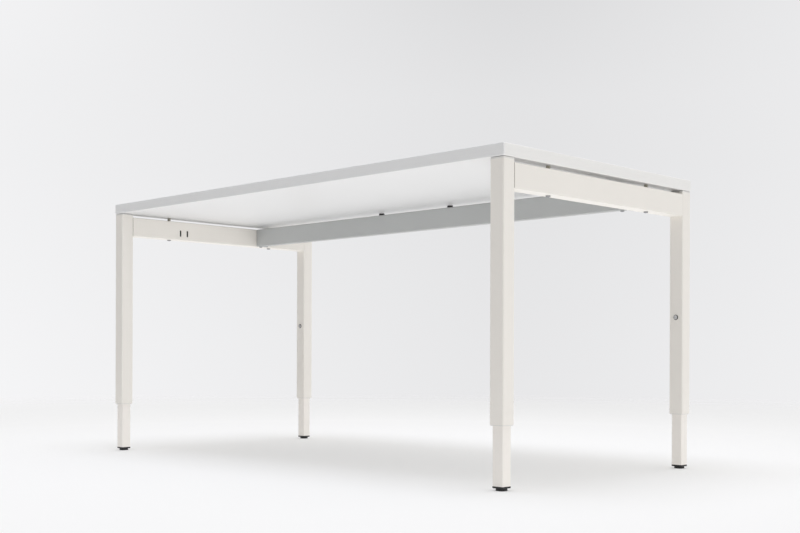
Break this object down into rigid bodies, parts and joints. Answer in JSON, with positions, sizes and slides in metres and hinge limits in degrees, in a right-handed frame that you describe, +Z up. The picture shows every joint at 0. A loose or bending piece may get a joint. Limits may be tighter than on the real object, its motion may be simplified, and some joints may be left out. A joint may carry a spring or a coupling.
{
  "type": "height-adjustable desk",
  "caption": "Rectangular desk on welded side frames, with telescopic legs locked by clamp screws, a hooked-in cross beam and levelling feet.",
  "frame": {"origin": "on the floor under the middle of the top, with the legs at their stored height and the feet screwed in", "axes": "+Z up, +X along the desk's width to the right of someone sitting at it, -Y towards that person"},
  "size_m": [1.6, 0.8, 0.783],
  "materials": {
    "white_laminate": "matt melamine laminate on chipboard",
    "white_edging": "satin ABS edge band",
    "white_powder_coat": "fine-textured satin powder coat",
    "grey_powder_coat": "fine-textured satin powder coat",
    "white_plastic": "moulded polypropylene",
    "natural_nylon": "moulded nylon",
    "beige_plastic": "moulded nylon",
    "black_plastic": "moulded polyamide",
    "zinc_plated_steel": "bright zinc plate",
    "blackened_steel": "dark zinc-nickel plate"
  },
  "bodies": {
    "desk_frame": {"beam_bracket_left": "grey_powder_coat", "beam_bracket_right": "grey_powder_coat", "beam_locking_screws": "zinc_plated_steel", "beam_spacer_pad_left": "black_plastic", "beam_spacer_pad_right": "black_plastic", "clamp_guide_pad_front_left": "natural_nylon", "clamp_guide_pad_front_right": "natural_nylon", "clamp_guide_pad_rear_left": "natural_nylon", "clamp_guide_pad_rear_right": "natural_nylon", "clamp_nut_plates": "zinc_plated_steel", "clamp_washers": "blackened_steel", "cross_beam": "grey_powder_coat", "edge_band_front": "white_edging", "edge_band_left": "white_edging", "edge_band_rear": "white_edging", "edge_band_right": "white_edging", "leg_top_cap_front_left": "white_plastic", "leg_top_cap_front_right": "white_plastic", "leg_top_cap_rear_left": "white_plastic", "leg_top_cap_rear_right": "white_plastic", "lower_guide_bush_front_left": "white_plastic", "lower_guide_bush_front_right": "white_plastic", "lower_guide_bush_rear_left": "white_plastic", "lower_guide_bush_rear_right": "white_plastic", "outer_tube_front_left": "white_powder_coat", "outer_tube_front_right": "white_powder_coat", "outer_tube_rear_left": "white_powder_coat", "outer_tube_rear_right": "white_powder_coat", "side_rail_left": "white_powder_coat", "side_rail_right": "white_powder_coat", "tabletop_board": "white_laminate", "top_fixing_screws": "zinc_plated_steel", "top_spacer_sleeves": "beige_plastic", "top_threaded_inserts": "zinc_plated_steel"},
    "inner_leg_front_left": {"inner_tube_front_left": "white_powder_coat", "upper_guide_bush_front_left": "natural_nylon", "foot_insert_front_left": "black_plastic"},
    "foot_front_left": {"foot_stud_front_left": "zinc_plated_steel", "foot_glide_front_left": "black_plastic"},
    "clamp_screw_front_left": {"clamp_screw_front_left": "blackened_steel"},
    "inner_leg_front_right": {"inner_tube_front_right": "white_powder_coat", "upper_guide_bush_front_right": "natural_nylon", "foot_insert_front_right": "black_plastic"},
    "foot_front_right": {"foot_stud_front_right": "zinc_plated_steel", "foot_glide_front_right": "black_plastic"},
    "clamp_screw_front_right": {"clamp_screw_front_right": "blackened_steel"},
    "inner_leg_rear_left": {"inner_tube_rear_left": "white_powder_coat", "upper_guide_bush_rear_left": "natural_nylon", "foot_insert_rear_left": "black_plastic"},
    "foot_rear_left": {"foot_stud_rear_left": "zinc_plated_steel", "foot_glide_rear_left": "black_plastic"},
    "clamp_screw_rear_left": {"clamp_screw_rear_left": "blackened_steel"},
    "inner_leg_rear_right": {"inner_tube_rear_right": "white_powder_coat", "upper_guide_bush_rear_right": "natural_nylon", "foot_insert_rear_right": "black_plastic"},
    "foot_rear_right": {"foot_stud_rear_right": "zinc_plated_steel", "foot_glide_rear_right": "black_plastic"},
    "clamp_screw_rear_right": {"clamp_screw_rear_right": "blackened_steel"}
  },
  "joints": [
    {"name": "leg_height_front_left", "type": "slide", "parent": "desk_frame", "child": "inner_leg_front_left", "axis": [0, 0, -1], "range_m": [-0.133, 0.067]},
    {"name": "leg_height_front_right", "type": "slide", "parent": "desk_frame", "child": "inner_leg_front_right", "axis": [0, 0, -1], "range_m": [-0.133, 0.067]},
    {"name": "leg_height_rear_left", "type": "slide", "parent": "desk_frame", "child": "inner_leg_rear_left", "axis": [0, 0, -1], "range_m": [-0.133, 0.067]},
    {"name": "leg_height_rear_right", "type": "slide", "parent": "desk_frame", "child": "inner_leg_rear_right", "axis": [0, 0, -1], "range_m": [-0.133, 0.067]},
    {"name": "clamp_screw_turn_front_left", "type": "hinge", "parent": "desk_frame", "child": "clamp_screw_front_left", "pos_m": [-0.779, -0.3582, 0.41], "axis": [0, 1, 0], "range_deg": [0, 720]},
    {"name": "clamp_screw_turn_front_right", "type": "hinge", "parent": "desk_frame", "child": "clamp_screw_front_right", "pos_m": [0.779, -0.3582, 0.41], "axis": [0, 1, 0], "range_deg": [0, 720]},
    {"name": "clamp_screw_turn_rear_left", "type": "hinge", "parent": "desk_frame", "child": "clamp_screw_rear_left", "pos_m": [-0.779, 0.3582, 0.41], "axis": [0, -1, 0], "range_deg": [0, 720]},
    {"name": "clamp_screw_turn_rear_right", "type": "hinge", "parent": "desk_frame", "child": "clamp_screw_rear_right", "pos_m": [0.779, 0.3582, 0.41], "axis": [0, -1, 0], "range_deg": [0, 720]},
    {"name": "foot_level_front_left", "type": "slide", "parent": "inner_leg_front_left", "child": "foot_front_left", "axis": [0, 0, -1], "range_m": [0, 0.01]},
    {"name": "foot_level_front_right", "type": "slide", "parent": "inner_leg_front_right", "child": "foot_front_right", "axis": [0, 0, -1], "range_m": [0, 0.01]},
    {"name": "foot_level_rear_left", "type": "slide", "parent": "inner_leg_rear_left", "child": "foot_rear_left", "axis": [0, 0, -1], "range_m": [0, 0.01]},
    {"name": "foot_level_rear_right", "type": "slide", "parent": "inner_leg_rear_right", "child": "foot_rear_right", "axis": [0, 0, -1], "range_m": [0, 0.01]}
  ]
}
